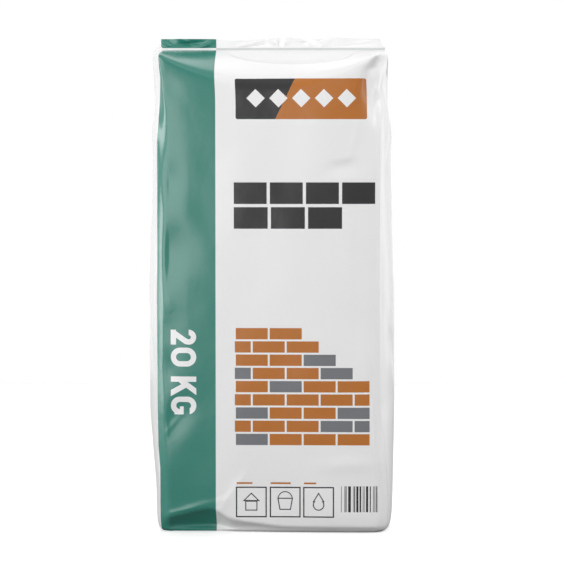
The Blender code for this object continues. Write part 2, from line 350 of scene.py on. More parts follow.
    def wall(self, height: np.ndarray) -> np.ndarray:
        """Work out the undented walls.

        A panel is x = a t, y = -+(b + (m - b) f), with a the crease's half width, b its half depth, m
        the middle's half depth and f = (1 + ((1 - ridge) / (1 - |t|))^n)^(-1/n), which is 1 inside the
        ridge and falls straight to 0 at the crease. m is read at the height weld - (weld - z) / arch with
        arch = 1 - |t|^power, so that the flat front ends below the weld in an arch. Past its start, the
        front's left edge rolls back by roll * ((|t| - start) / (1 - start))^2. A gusset runs from its
        front crease f to its back crease k: y = b t, x = c + t (k - f) / 2 + (side - c) (1 - t^2)
        - tuck (1 - |t|)^q with c = (f + k) / 2. The back panel is turned half round.

        Args:
            height: the rows' heights.

        Returns:
            Points by row, column and axis, in millimetres.
        """
        side, t = self.columns()
        z = height[:, None]
        arch = np.maximum(1.0 - np.abs(t) ** self.arch_power, self.arch_rim)
        level = np.maximum(self.weld - (self.weld - z) / arch, np.minimum(z, self.arch_foot))
        b, m = self.crease_depth.at(z), self.middle_depth.at(level)
        sign = np.where(side < 2, 1.0, -1.0)[None, :]
        right = t * sign > 0
        front = np.where(right, self.right_crease.at(z), self.left_crease.at(z))
        a = np.where(side[None, :] == 0, front, self.back_crease.at(z))
        ridge = np.where(right, self.ridge_right.at(z), self.ridge_left.at(z))
        n = np.where(right, self.right_sharpness.at(z), self.left_sharpness.at(z))
        rolled = np.maximum(0.0, (np.abs(t) - self.roll_start) / (1.0 - self.roll_start))
        m = m - self.roll.at(z) * np.where((side == 0) & (t < 0), rolled, 0.0)[None, :] ** 2
        fall = (1.0 - ridge) / np.maximum(1.0 - np.abs(t), 1e-6)
        depth = b + (m - b) * (1.0 + np.minimum(fall, 1e4) ** n) ** (-1.0 / n)
        near = np.where(sign > 0, self.right_crease.at(z), self.left_crease.at(z))
        far, reach = self.back_crease.at(z), np.where(sign > 0, self.right_side.at(z), self.left_side.at(z))
        turn, middle = t * sign, (near + far) / 2.0
        out = (middle + turn * (far - near) / 2.0 + (reach - middle) * (1.0 - t * t)
               - self.tuck.at(z) * (1.0 - np.abs(t)) ** self.tuck_power)
        on_panel = (side % 2 == 0)[None, :]
        x = np.where(on_panel, a * t, out) * sign
        y = np.where(on_panel, -depth, b * t) * sign
        return np.stack([x, y, np.broadcast_to(z, x.shape)], axis=-1)

    def dented(self, wall: np.ndarray) -> np.ndarray:
        """Move each point of the walls along the wall's own normal by its folds, ripples and bead.

        The moves fade to nothing at the base and at the weld. The hem then turns under.

        Args:
            wall: the undented walls.

        Returns:
            The walls with their folds.
        """
        side, _ = self.columns()
        normal = self.normals(wall)
        girth = self.wall(np.array([self.girth_height]))[0]
        along = np.concatenate([[0.0], np.cumsum(np.linalg.norm(np.diff(girth, axis=0), axis=1))])
        z = wall[..., 2]
        push = np.zeros(z.shape)
        for fold in self.folds:
            if fold.side is Side.FIN:
                continue
            place = {Side.FRONT: wall[..., 0], Side.RIGHT: wall[..., 1],
                     Side.BACK: -wall[..., 0], Side.LEFT: -wall[..., 1]}[fold.side]
            push += np.where((side == fold.side.value)[None, :], fold.push(place, z), 0.0)
        for ripple in self.ripples:
            push += ripple.push(along[None, :], z)
        low, high = self.fixed_ends
        free = smooth_step(z, 0.0, low) * (1.0 - smooth_step(z, high, self.weld))
        moved = wall + normal * ((push * self.off_crease() + self.beaded()) * free)[..., None]
        moved[..., 1] += self.turned_under(wall)
        return moved

    def turned_under(self, wall: np.ndarray) -> np.ndarray:
        """How far the front and the back turn inwards at the base.

        With d the depth below the hem's upper edge, it is reach * (1 - exp(-slope * d / reach)), times
        the foot's share at the height, as the film's edge comes forward again where it stands.

        Args:
            wall: the undented walls.

        Returns:
            The inward moves in millimetres, positive on the front and negative on the back.
        """
        side, t = self.columns()
        height = self.hem.at(np.where(side == 2, -wall[..., 0], wall[..., 0]))
        inwards = np.where(side == 0, 1.0, np.where(side == 2, -1.0, 0.0))
        inwards = inwards * np.minimum(1.0, self.hem_taper * (1.0 - np.abs(t)))
        below = np.maximum(0.0, height - wall[..., 2])
        curl = self.hem_reach * (1.0 - np.exp(-self.hem_slope * below / self.hem_reach))
        return curl * self.hem_foot.at(wall[..., 2]) * inwards[None, :]

    def beaded(self) -> np.ndarray:
        """The pressed edge along the fold lines, with a shallow dip beside it.

        With d the distance from the crease, it is rise * exp(-(d / width)^2) less the dip, which is
        0.1 mm on a panel and 0.4 mm on a gusset. The front's left fold line has a fifth of it.

        Returns:
            The outward move of each column in millimetres.
        """
        side, t = self.columns()
        edge = (1.0 - np.abs(t)) * np.where(side % 2 == 0, self.half_panel, self.bead_gusset)
        left = (side == 0) & (t < 0) | (side == 3) & (t > 0)
        (rise, width), (middle, spread) = self.bead, self.bead_dip
        dip = np.where(side % 2 == 0, 0.1, 0.4) * np.exp(-(((edge - middle) / spread) ** 2))
        push = rise * np.exp(-((edge / width) ** 2)) - dip
        return (push * np.where(left, 0.2, 1.0))[None, :]

    def normals(self, wall: np.ndarray) -> np.ndarray:
        """The outward unit normal at each point of a grid: the cross product of its two tangents.

        Args:
            wall: points by row, column and axis.

        Returns:
            The normals, in the same order.
        """
        up = np.gradient(wall, axis=0)
        tangent = np.roll(wall, -1, axis=1) - np.roll(wall, 1, axis=1)
        normal = np.cross(tangent, up)
        return normal / np.maximum(np.linalg.norm(normal, axis=-1, keepdims=True), 1e-9)

    def off_crease(self) -> np.ndarray:
        """How much of a fold each column takes: little on a crease line, and all past its edge.

        The share is 0.35 + 0.65 s with s rising over 7 mm from the crease. On the front's left, where a
        plain bevel runs down beside the crease, it is 0.1 + 0.9 s with s rising from 5 to 15 mm.

        Returns:
            The share of each column.
        """
        side, t = self.columns()
        edge = (1.0 - np.abs(t)) * np.where(side % 2 == 0, self.half_panel, self.half_gusset)
        beside_bevel = 0.1 + 0.9 * smooth_step(edge, 5.0, 15.0)
        elsewhere = 0.35 + 0.65 * smooth_step(edge, 0.0, 7.0)
        return np.where((side == 0) & (t < 0), beside_bevel, elsewhere)[None, :]

    def fin(self) -> np.ndarray:
        """Work out the weld and the crumpled fin above it, up over its open lips.

        At share s of its height x = half width * t, z rises evenly to the top edge's profile, and both
        sheets of film sway together in y by s times two sines, rise * sin(x / length + phase), plus the
        fin's folds. The sheets part a little towards the top, by 0.55 + 0.5 s^2 (1 + sin(x / 17 + 1)).
        The last two rows close the lip.

        Returns:
            Points by row, column and axis, in millimetres.
        """
        side, t = self.columns()
        rows = self.fin_rows
        last_rises, last_parts = zip(*self.lip)
        share = np.concatenate([[0.0, 0.0], np.linspace(0.0, 1.0, rows)[1:], last_rises])[:, None]
        lip = np.concatenate([np.ones(rows + 1), last_parts])[:, None]
        low = self.weld + np.concatenate([[self.weld_foot], np.full(rows + 2, self.weld_band)])[:, None]
        half = self.back_crease.at(np.array([self.weld]))[0]
        half = half - self.fin_narrowing[0] * smooth_step(share, 0.0, 0.3) - self.fin_narrowing[1] * share
        on_panel = (side % 2 == 0)[None, :]
        sign = np.where(side < 2, 1.0, -1.0)[None, :]
        x = half * np.where(on_panel, t, 1.0) * sign
        part = 0.55 + 0.5 * share**2 * (1.0 + np.sin(x / 17.0 + 1.0))
        part[:2] = self.weld_thickness
        facing = np.where(on_panel, -1.0, t) * sign
        sway = share * sum(rise * np.sin(x / length + phase) for rise, length, phase in self.fin_sway)
        z = low + (self.fin_top.at(x) - low) * share
        for fold in self.folds:
            if fold.side is Side.FIN:
                sway = sway - smooth_step(share, 0.0, 0.25) * fold.push(x, z)
        y = sway + facing * part * lip
        return np.stack([x, y, z], axis=-1)

    def underside(self, edge: np.ndarray) -> np.ndarray:
        """Work out the folded base, from a slit at the middle out to the edge of the walls.

        At share s from the slit, x is the edge's times slit + (1 - slit) s, and y alike. Inside its rim
        the film is lifted clear of the floor, less where the seam's flap, exp(-((y - middle) / half)^6),
        and the gussets' corner folds press it down.

        Args:
            edge: the walls' lowest row.

        Returns:
            Points by row, column and axis, in millimetres, the slit first.
        """
        share = (1.0 - np.linspace(0.0, 1.0, self.base_rows)[1:] ** 1.3)[::-1, None]
        slit = np.array(self.base_slit)
        x, y = (edge[None, :, i] * (slit[i] + (1.0 - slit[i]) * share) for i in range(2))
        middle, half = self.base_flap
        inner = 1.0 - smooth_step(share, 0.9, 1.0)
        flap = np.exp(-(((y - middle) / half) ** 6))
        corner = np.exp(-(((120.0 - np.abs(x)) - 1.05 * np.abs(y)) / 1.4) ** 2)
        z = inner * np.maximum(0.0, self.base_lift * (1.0 - flap) - 0.45 * corner)
        return np.stack([x, y, z], axis=-1)

    def placed(self, grid: np.ndarray) -> np.ndarray:
        """Move points from the weld's middle to the middle of the sack's box: x - weld offset."""
        return grid - np.array([self.weld_offset, 0.0, 0.0])

    def weld_place(self) -> Pair:
        """Measure where the weld lies up the film: from the end of the walls, over the weld's band.

        Returns:
            The weld's lower and upper edge in film millimetres.
        """
        middle = self.wall(self.heights())[:, self.front_columns // 2]
        up = float(np.linalg.norm(np.diff(middle, axis=0), axis=1).sum())
        return up, up + self.weld_band

    def film_places(self, base: np.ndarray, wall: np.ndarray, fin: np.ndarray) -> np.ndarray:
        """Measure the film, so that the print follows it: along the tube, and up its front.

        Across the front a place is x, and leans over by up to 2.6 mm in the shoulders. Round the rest
        of the tube it is x at the right crease plus the summed steps between the row's points. A row's
        place up the film is the summed steps up the front's middle.

        Args:
            base: the underside's rows.
            wall: the undented walls.
            fin: the rows of the weld and the fin.

        Returns:
            Places along and up by row and column, with one column more than the grid to close the tube.
        """
        rows = np.concatenate([np.repeat(wall[:1], len(base), 0), wall, fin])
        closed = np.concatenate([rows, rows[:, :1]], axis=1)
        steps = np.linalg.norm(np.diff(closed, axis=1), axis=-1)
        along = np.concatenate([np.zeros((len(rows), 1)), np.cumsum(steps, axis=1)], axis=1)
        crease = self.front_columns
        along = along + (rows[:, crease, 0] - along[:, crease])[:, None]
        lean, start, end = self.print_lean
        along[:, :crease] = rows[:, :crease, 0] + lean * smooth_step(rows[:, :crease, 2], start, end)
        middle = wall[:, crease // 2]
        up = np.concatenate([[0.0], np.cumsum(np.linalg.norm(np.diff(middle, axis=0), axis=1))])
        weld = up[-1] + np.array([self.weld_foot, self.weld_band])
        over = weld[-1] + np.linspace(*self.fin_film, len(fin) - 2)
        up = np.concatenate([np.linspace(-60.0, -1.0, len(base)), up, weld, over])
        return np.stack([along, np.broadcast_to(up[:, None], along.shape)], axis=-1)

    def build(self, name: str, material: bpy.types.Material) -> bpy.types.Object:
        """Join the base, the walls and the fin to one closed mesh with a UV map in film metres.

        Args:
            name: the piece's name.
            material: its finish.

        Returns:
            The new object.
        """
        plain = self.wall(self.heights())
        walls = self.dented(plain)
        base = self.underside(walls[0])
        fin = self.fin()
        grid = self.placed(np.concatenate([base, walls, fin]))
        return grid_object(name, grid * MM, self.film_places(base, plain, fin) * MM, material)


def grid_object(name: str, grid: np.ndarray, film: np.ndarray,
                material: bpy.types.Material) -> bpy.types.Object:
    """Make a closed tube from a grid of points, capped flat at both ends.

    Args:
        name: the object's name.
        grid: points by row, column and axis, in metres. Columns run anticlockwise seen from above.
        film: UV places by row and column, with one column more to close the tube.
        material: its finish.

    Returns:
        The new object, with smooth faces whose normals point outwards.
    """
    rows, cols = grid.shape[:2]
    row, col = np.meshgrid(np.arange(rows - 1), np.arange(cols), indexing="ij")
    right = (col + 1) % cols
    quads = np.stack([row * cols + col, row * cols + right, (row + 1) * cols + right,
                      (row + 1) * cols + col], axis=-1).reshape(-1, 4)
    caps = [list(range(cols))[::-1], list(range((rows - 1) * cols, rows * cols))]
    mesh = bpy.data.meshes.new(name)
    mesh.from_pydata(grid.reshape(-1, 3).tolist(), [], quads.tolist() + caps)
    flat = np.stack([film[row, col], film[row, col + 1], film[row + 1, col + 1], film[row + 1, col]],
                    axis=-2).reshape(-1, 2)
    ends = np.concatenate([film[0, :-1][::-1], film[-1, :-1]])
    layer = mesh.uv_layers.new(name="film")
    layer.uv.foreach_set("vector", np.concatenate([flat, ends]).astype(np.float32).ravel())
    mesh.materials.append(material)
    mesh.shade_smooth()
    mesh.set_sharp_from_angle(angle=math.radians(60))
    made = bpy.data.objects.new(name, mesh)
    bpy.context.scene.collection.objects.link(made)
    return made


@dataclass
class CementFill:
    """The powder: it fills the sack's walls from inside, up to a slumped surface in the shoulders."""

    gap: float = 0.6
    bottom: float = 2.0
    level: float = 516.0
    mound: float = 7.0
    top_rings: int = 15
    wave: float = 2.0
    film_size: Pair = (0.75, 0.6)

    def surface(self, sack: FilmSack) -> np.ndarray:
        """Follow the film's walls at a gap, and close over the top with a mound.

        The walls are P - gap * normal. The top's rings shrink evenly to the middle, with
        z = level + mound * sin(pi (1 - share)^2 / 2) less wave * sin(x / 21) cos(y / 13) inside.

        Args:
            sack: the sack that holds the powder.

        Returns:
            Points by row, column and axis, in millimetres.
        """
        walls = sack.dented(sack.wall(sack.heights()))
        normal = sack.normals(walls)
        inside = walls - normal * self.gap
        kept = inside[(walls[:, 0, 2] > self.bottom) & (walls[:, 0, 2] < self.level - 2.0)]
        kept[0, :, 2] = self.bottom
        edge = kept[-1]
        share = np.linspace(1.0, 0.04, self.top_rings + 1)[1:, None]
        x, y = edge[None, :, 0] * share, edge[None, :, 1] * share
        heap = self.mound * np.sin(0.5 * math.pi * (1.0 - share) ** 2)
        wave = (1.0 - share) * self.wave * np.sin(x / 21.0) * np.cos(y / 13.0)
        z = edge[None, :, 2] + heap - wave
        heaped = np.stack([x, y, np.broadcast_to(z, x.shape)], axis=-1)
        return sack.placed(np.concatenate([kept, heaped]))

    def build(self, name: str, sack: FilmSack, material: bpy.types.Material) -> bpy.types.Object:
        """Build the powder as one closed mesh.

        Args:
            name: the piece's name.
            sack: the sack that holds it.
            material: its finish.

        Returns:
            The new object.
        """
        grid = self.surface(sack)
        along = np.linspace(0.0, self.film_size[0], grid.shape[1] + 1)
        up = np.linspace(0.0, self.film_size[1], grid.shape[0])
        film = np.stack(np.meshgrid(along, up), axis=-1)
        return grid_object(name, grid * MM, film, material)


def sack_folds() -> tuple[Fold, ...]:
    """List the folds of a filled film sack, in its shoulders, panels, gussets and fin.

    Returns:
        The folds.
    """
    front, right, back, left, fin = Side.FRONT, Side.RIGHT, Side.BACK, Side.LEFT, Side.FIN
    ridge = Relief.RIDGE
    shoulders = (
        Fold(front, 24, 555, 74, 16, -1, -7.0, Relief.LENS),
        Fold(front, -8, 551, 17, 2.0, -7, 1.6),
        Fold(front, 60, 550, 8, 1.6, -30, 1.4, ridge),
        Fold(front, 126, 518, 22, 2.2, 80, 1.3, ridge),
        Fold(front, 128, 500, 12, 2.0, 112, 1.5, ridge),
        Fold(front, 122, 486, 16, 5.0, 95, -1.6),
        Fold(front, -116, 516, 15, 11, -40, -1.2),
        Fold(back, 8, 555, 80, 14, 1, -6.0, Relief.LENS),
        Fold(back, 124, 512, 20, 2.4, 100, 1.4, ridge),
        Fold(back, -122, 500, 18, 5.0, 84, -1.6),
    )
    panels = (
        Fold(front, -115, 402, 24, 13, 88, -3.2),
        Fold(front, -115, 325, 30, 22, 84, -3.6),
        Fold(front, -120, 264, 17, 12, 90, 1.3),
        Fold(front, -121, 190, 18, 11, 92, -2.2),
        Fold(front, -106, 132, 26, 15, 60, -2.8),
        Fold(front, -112, 122, 26, 2.4, 50, 0.7, ridge),
        Fold(front, 86, 420, 17, 9, 10, -2.2),
        Fold(front, 87, 430, 17, 1.4, 11, 0.8, ridge),
        Fold(front, 98, 450, 22, 3, 75, 0.9, ridge),
        Fold(front, 104, 300, 110, 7, 91, -0.8),
        Fold(front, 126, 95, 75, 3.2, 95.6, -2.4),
        Fold(front, -42, 45, 36, 3.5, 56, 0.9, ridge),
        Fold(front, -88, 28.5, 30, 1.6, 14, 1.3, ridge),
        Fold(front, 92, 79, 28, 8, 2, 1.0),
        Fold(back, -60, 300, 90, 26, 74, -1.6),
        Fold(back, 66, 190, 80, 22, 100, -1.4),
        Fold(back, 20, 440, 60, 8, 12, 0.9, ridge),
        Fold(back, 116, 380, 24, 12, 90, -2.6),
        Fold(back, -117, 260, 22, 12, 88, -2.4),
        Fold(back, 115, 150, 26, 11, 84, -2.2),
    )
    gussets = (
        Fold(right, 0, 250, 240, 2.6, 90, -1.6, ridge),
        Fold(left, 0, 250, 240, 2.6, 90, -1.6, ridge),
        Fold(right, -14, 455, 30, 3.0, 62, 1.6, ridge),
        Fold(right, 15, 452, 32, 3.0, 118, 1.6, ridge),
        Fold(left, -14, 452, 32, 3.0, 62, 1.6, ridge),
        Fold(left, 14, 456, 30, 3.0, 118, 1.6, ridge),
        Fold(right, 22, 330, 34, 8, 60, -1.4),
        Fold(right, -20, 214, 40, 8, 115, -1.3),
        Fold(right, 18, 110, 36, 8, 70, -1.4),
        Fold(left, -20, 340, 36, 8, 60, -1.4),
        Fold(left, 20, 232, 40, 8, 112, -1.4),
        Fold(left, -16, 120, 36, 8, 75, -1.2),
    )
    crumples = (
        Fold(fin, 47, 564, 6, 1.6, -58, 3.0, ridge),
        Fold(fin, 66, 564, 8, 1.6, 42, 3.0, ridge),
        Fold(fin, 57, 567, 5, 3.2, 0, -3.0),
        Fold(fin, -24, 563, 12, 1.3, 14, 3.2, ridge),
        Fold(fin, -14, 561, 7, 2.2, 0, -2.6),
        Fold(fin, 3, 566, 7, 1.2, -42, 3.0, ridge),
        Fold(fin, 10, 562, 5, 2.2, 80, -3.0),
        Fold(fin, 18, 564, 5, 1.2, 68, 2.4, ridge),
        Fold(fin, -101, 568, 14, 1.0, -22, 2.6, ridge),
        Fold(fin, -92, 564, 11, 2.4, 4, -3.6),
        Fold(fin, -74, 562, 9, 1.2, 32, 2.8, ridge),
        Fold(fin, -122, 564, 7, 1.0, -32, 2.4, ridge),
        Fold(fin, 90, 561, 16, 1.6, 5, -2.4),
        Fold(fin, 112, 566, 14, 1.3, 14, 1.8, ridge),
    )
    return shoulders + panels + gussets + crumples


# Finishes


@dataclass(frozen=True)
class Measure:
    """A number that changes over a surface, as a node's output. Its arithmetic adds Math nodes."""

    tree: bpy.types.NodeTree
    socket: bpy.types.NodeSocket

    def math(self, kind: str, *others: "Measure | float", clamp: bool = False) -> "Measure":
        """Add a Math node of a kind.

        Args:
            kind: Blender's name of the operation.
            others: the further inputs, as measures or plain numbers.
            clamp: whether the result is held between 0 and 1.

        Returns:
            The node's result.
        """
        node = self.tree.nodes.new("ShaderNodeMath")
        node.operation, node.use_clamp = kind, clamp
        for slot, value in zip(node.inputs, (self, *others)):
            if isinstance(value, Measure):
                self.tree.links.new(value.socket, slot)
            else:
                slot.default_value = value
        return Measure(self.tree, node.outputs[0])

    def __add__(self, other: "Measure | float") -> "Measure":
        """Sum."""
        return self.math("ADD", other)

    def __sub__(self, other: "Measure | float") -> "Measure":
        """Difference."""
        return self.math("SUBTRACT", other)

    def __mul__(self, other: "Measure | float") -> "Measure":
        """Product."""
        return self.math("MULTIPLY", other)

    def __and__(self, other: "Measure") -> "Measure":
        """The overlap of two signed distances: the larger one."""
        return self.math("MAXIMUM", other)

    def __or__(self, other: "Measure") -> "Measure":
        """The union of two signed distances: the smaller one."""
        return self.math("MINIMUM", other)

    def size(self) -> "Measure":
        """Its size without its sign."""
        return self.math("ABSOLUTE")

    def whole(self) -> "Measure":
        """The whole number below it."""
        return self.math("FLOOR")

    def less(self, inner: "Measure") -> "Measure":
        """This signed distance with another's inside taken out."""
        return self & (inner * -1.0)

    def mask(self, edge: float = 0.15) -> "Measure":
        """Turn a signed distance into a mask: 0.5 - d / edge, held between 0 and 1."""
        return (self * (-1.0 / edge)).math("ADD", 0.5, clamp=True)


@dataclass(frozen=True)
class Sheet:
    """A flat sheet by its places across and up. Its shapes are signed distances, below 0 inside."""

    x: Measure
    y: Measure

    def moved(self, x: float, y: float) -> "Sheet":
        """The same sheet, measured from another place."""
        return Sheet(self.x - x, self.y - y)

    def away(self) -> Measure:
        """The distance from the place that the sheet is measured from, sqrt(x^2 + y^2)."""
        return (self.x * self.x + self.y * self.y).math("SQRT")

    def box(self, left: float, right: float, low: float, high: float, corner: float = 0.0) -> Measure:
        """A box: sqrt(max(dx, 0)^2 + max(dy, 0)^2) - corner, or max(dx, dy) where it has no corner.

        Args:
            left: its left edge.
            right: its right edge.
            low: its lower edge.
            high: its upper edge.
            corner: the radius of its corners.

        Returns:
            The signed distance.
        """
        dx = (self.x - (left + right) / 2.0).size() - ((right - left) / 2.0 - corner)
        dy = (self.y - (low + high) / 2.0).size() - ((high - low) / 2.0 - corner)
        if not corner:
            return dx & dy
        return Sheet(dx.math("MAXIMUM", 0.0), dy.math("MAXIMUM", 0.0)).away() - corner

    def stroke(self, start: Pair, end: Pair, width: float) -> Measure:
        """A straight stroke with round ends.

        With p from the start, b the stroke and h = p.b / b.b held between 0 and 1, it is
        |p - h b| - width / 2.

        Args:
            start: where the stroke starts.
            end: where it ends.
            width: how wide it is.

        Returns:
            The signed distance.
        """
        bx, by = end[0] - start[0], end[1] - start[1]
        square = bx * bx + by * by
        place = self.moved(*start)
        share = (place.x * (bx / square)).math("ADD", place.y * (by / square), clamp=True)
        return Sheet(place.x - share * bx, place.y - share * by).away() - width / 2.0

    def ring(self, middle: Pair, radius: float, straight: float, width: float) -> Measure:
        """A ring stretched upwards, | |p| - (radius - width/2) | - width/2.

        Args:
            middle: the ring's middle.
            radius: its outer radius.
            straight: half the length of its straight sides.
            width: how wide its stroke is.

        Returns:
            The signed distance.
        """
        place = self.moved(*middle)
        up = (place.y.size() - straight).math("MAXIMUM", 0.0)
        return (Sheet(place.x, up).away() - (radius - width / 2.0)).size() - width / 2.0


@dataclass(frozen=True)
class Drawing(Sheet):
    """Line drawings in millimetres about the place that the sheet is measured from."""

    line: float

    def lined(self, whole: Measure) -> Measure:
        """A shape's outline, drawn inside its edge."""
        return whole.less(whole + self.line)

    def house(self) -> Measure:
        """A house: a gable on a square body."""
        gable = (self.x.size() + (self.y - 11.0)) * 0.7 & (self.y * -1.0 + 1.0)
        return self.lined(gable | self.box(-7.0, 7.0, -10.0, 1.5))

    def bucket(self) -> Measure:
        """A bucket: a pail that widens upwards, under a round handle.

        Returns:
            The signed distance.
        """
        slanted = self.x.size() - 6.5 - (self.y + 9.0) * 0.18
        handle = self.ring((0.0, 4.0), 8.6, 0.0, 1.1) & (self.y * -1.0 + 5.0)
        return self.lined(slanted & self.box(-12.0, 12.0, -9.0, 5.0)) | handle

    def drop(self) -> Measure:
        """A drop: a ball under a straight-sided tip."""
        tip = (self.x.size() * 1.65 + (self.y - 11.5)) * 0.52 & (self.y * -1.0)
        return self.lined((self.moved(0.0, -3.0).away() - 6.6) | tip)


def joined(shapes: list[Measure]) -> Measure:
    """The union of signed distances, from the first to the last."""
    return reduce(or_, shapes)


class Ink(Enum):
    """The inks of the print and the bare film, and the weld line's grey with its painted shade, as a screen
    shows them.
    """

    FILM = (250, 250, 250)
    GREEN = (48, 133, 118)
    ORANGE = (192, 114, 34)
    DARK = (34, 34, 36)
    GREY = (120, 122, 126)
    # the weld line's light grey: partly the weld's own colour, partly painted shade of its pressed line
    WELD_AND_SHADE = (214, 217, 217)

    def light(self) -> Edges:
        """The ink in linear light."""
        return (*linear(*self.value), 1.0)


@dataclass(frozen=True)
class Print(Sheet):
    """The print on the sack's front, in film millimetres: across from its middle, and up from its base.

    A box is its left, right, lower and upper edge, and a row of title blocks its step and its count.
    The green band's outer edge draws in from one height to another by the third value.
    """

    weld: Pair
    band: Pair = (-128.6, -59.9)
    band_top: Place = (440.0, 525.0, 6.3)
    band_foot: Place = (125.0, 75.0, 4.0)
    band_lip: float = -2.0
    plaque: Edges = (-36.8, 113.2, 476.2, 523.9)
    plaque_corner: float = 2.4
    plaque_parting: float = 0.3
    diamonds: int = 5
    diamond: float = 10.5
    diamond_margin: float = 10.0
    title: Place = (-38.9, 351.4, 404.3)
    title_steps: tuple[tuple[float, int], ...] = ((41.2, 4), (42.4, 3))
    title_gap: float = 3.6
    wall_left: float = -37.9
    wall_low: float = 102.1
    brick: Pair = (38.9, 15.2)
    wall_rows: int = 9
    full_rows: int = 4
    row_bricks: float = 4.0
    joint: float = 2.2
    grey_share: float = 0.27
    frames: tuple[float, ...] = (-36.8, 2.1, 40.5)
    frame_size: float = 35.5
    frame_low: float = 19.7
    frame_line: float = 1.5
    drawing_line: float = 1.2
    captions_at: Pair = (58.3, 60.3)
    caption_lengths: tuple[float, ...] = (18.0, 23.0, 14.0)
    bars: Edges = (84.1, 126.1, 26.1, 56.1)
    bar_step: float = 0.62
    bar_gaps: float = 0.52
    weight_low: float = -111.6
    weight_start: float = 235.7
    letter_height: float = 29.4
    letter_stroke: float = 6.2

    def layers(self) -> list[tuple[Measure, Ink]]:
        """List the print's shapes with their inks, from the lowest to the topmost."""
        return [
            (self.side_band(), Ink.GREEN),
            (self.weight(), Ink.FILM),
            (self.plaque_shape(), Ink.DARK),
            (self.plaque_patch(), Ink.ORANGE),
            (self.plaque_marks(), Ink.FILM),
            (self.title_blocks(), Ink.DARK),
            (self.bricks(grey=False), Ink.ORANGE),
            (self.bricks(grey=True), Ink.GREY),
            (self.pictures(), Ink.DARK),
            (self.caption_bars(), Ink.ORANGE),
            (self.bar_block(), Ink.DARK),
            # the weld line: light grey with painted shade across the white film, and drawn white across the
            # green band
            (self.weld_line(), Ink.WELD_AND_SHADE),
            (self.weld_line() & (self.x - self.band[1]), Ink.FILM),
        ]

    def weld_line(self) -> Measure:
        """The pressed line of the weld."""
        return (self.y - sum(self.weld) / 2.0).size() - (self.weld[1] - self.weld[0]) / 2.0

    def ramp(self, start: float, end: float, reach: float) -> Measure:
        """A distance that grows up the film, evenly from 0 at start to reach at end."""
        return ((self.y - start) * (1.0 / (end - start))).math("ADD", 0.0, clamp=True) * reach

    def side_band(self) -> Measure:
        """The upright band at the left.

        Its outer edge draws in by 6.3 mm towards the top, and by 4 mm at the foot. Past the weld it
        comes back by 2 mm.

        Returns:
            The signed distance.
        """
        left, right = self.band
        weld = self.weld[1]
        inwards = self.ramp(*self.band_top) + self.ramp(weld, weld + 2.0, self.band_lip)
        inwards = inwards + self.ramp(*self.band_foot)
        return (inwards + left - self.x) & (self.x - right)

    def plaque_shape(self) -> Measure:
        """A rounded plaque near the top."""
        return self.box(*self.plaque, corner=self.plaque_corner)

    def plaque_patch(self) -> Measure:
        """The plaque's right part, past a line that leans over by half its height.

        Returns:
            The signed distance.
        """
        left, right, low, _ = self.plaque
        slant = (self.y - low) * 0.5 - self.x + (left + (right - left) * self.plaque_parting)
        return self.plaque_shape() & (slant * 0.9)

    def plaque_marks(self) -> Measure:
        """A row of diamonds along the plaque.

        Returns:
            The signed distance.
        """
        left, right, low, high = self.plaque
        left, right = left + self.diamond_margin, right - self.diamond_margin
        step = (right - left) / self.diamonds
        cell = (self.x - left) * (1.0 / step)
        across = (cell - cell.whole() - 0.5) * step
        up = self.y - (low + high) / 2.0
        diamond = across.size() + up.size() - self.diamond
        return diamond & self.box(left, right, low, high)

    def title_blocks(self) -> Measure:
        """Two rows of plain blocks laid like bricks, with one block fewer in the lower row.

        Returns:
            The signed distance.
        """
        left, low, high = self.title
        row = (high - low - self.title_gap) / 2.0
        upper, lower = self.title_steps
        return (self.block_row(left, *upper, high - row, high)
                | self.block_row(left, *lower, low, low + row))

    def block_row(self, left: float, step: float, count: int, low: float, high: float) -> Measure:
        """A row of equal blocks.

        Args:
            left: the first block's left edge.
            step: from one block to the next.
            count: how many there are.
            low: the row's lower edge.
            high: its upper edge.

        Returns:
            The signed distance.
        """
        half = (step - self.title_gap) / 2.0
        cell = (self.x - left) * (1.0 / step)
        across = (cell - cell.whole()) * step
        block = (across - half).size() - half
        return block & self.box(left, left + step * count - self.title_gap, low, high)

    def bricks(self, grey: bool) -> Measure:
        """A wall in running bond whose right end steps up, half a brick a row past the full rows.

        Args:
            grey: whether this is the grey bricks, about one in four, or all the rest.

        Returns:
            The signed distance.
        """
        length, height = self.brick
        lift = (self.y - self.wall_low) * (1.0 / height)
        row = lift.whole()
        odd = row.math("MODULO", 2.0)
        run = (self.x - self.wall_left) * (1.0 / length) + odd * 0.5
        cell = run.whole()
        across = (run - cell - 0.5) * length
        up = (lift - row - 0.5) * height
        shape = (across.size() - (length - self.joint) / 2.0) & (up.size() - (height - self.joint) / 2.0)
        right = self.wall_left + self.row_bricks * length
        outer = self.box(self.wall_left, right, self.wall_low, self.wall_low + self.wall_rows * height)
        short = (row - float(self.full_rows)).math("MAXIMUM", 0.0) * (length / 2.0)
        end = self.x - (right - self.joint / 2.0) + short
        chance = self.chance(cell + 3.0, row)
        pick = (chance - self.grey_share) if grey else (chance * -1.0 + self.grey_share)
        return shape & outer & end & (pick * 50.0)

    def chance(self, first: Measure, second: Measure | None = None) -> Measure:
        """A fixed random number from 0 to 1 for one or two whole numbers.

        Args:
            first: the first number.
            second: the second number, if there is one.

        Returns:
            The random number.
        """
        tree = first.tree
        pair, noise = tree.nodes.new("ShaderNodeCombineXYZ"), tree.nodes.new("ShaderNodeTexWhiteNoise")
        tree.links.new((first + 0.5).socket, pair.inputs[0])
        if second:
            tree.links.new((second + 0.5).socket, pair.inputs[1])
        noise.noise_dimensions = "2D"
        tree.links.new(pair.outputs[0], noise.inputs["Vector"])
        return Measure(tree, noise.outputs["Value"])

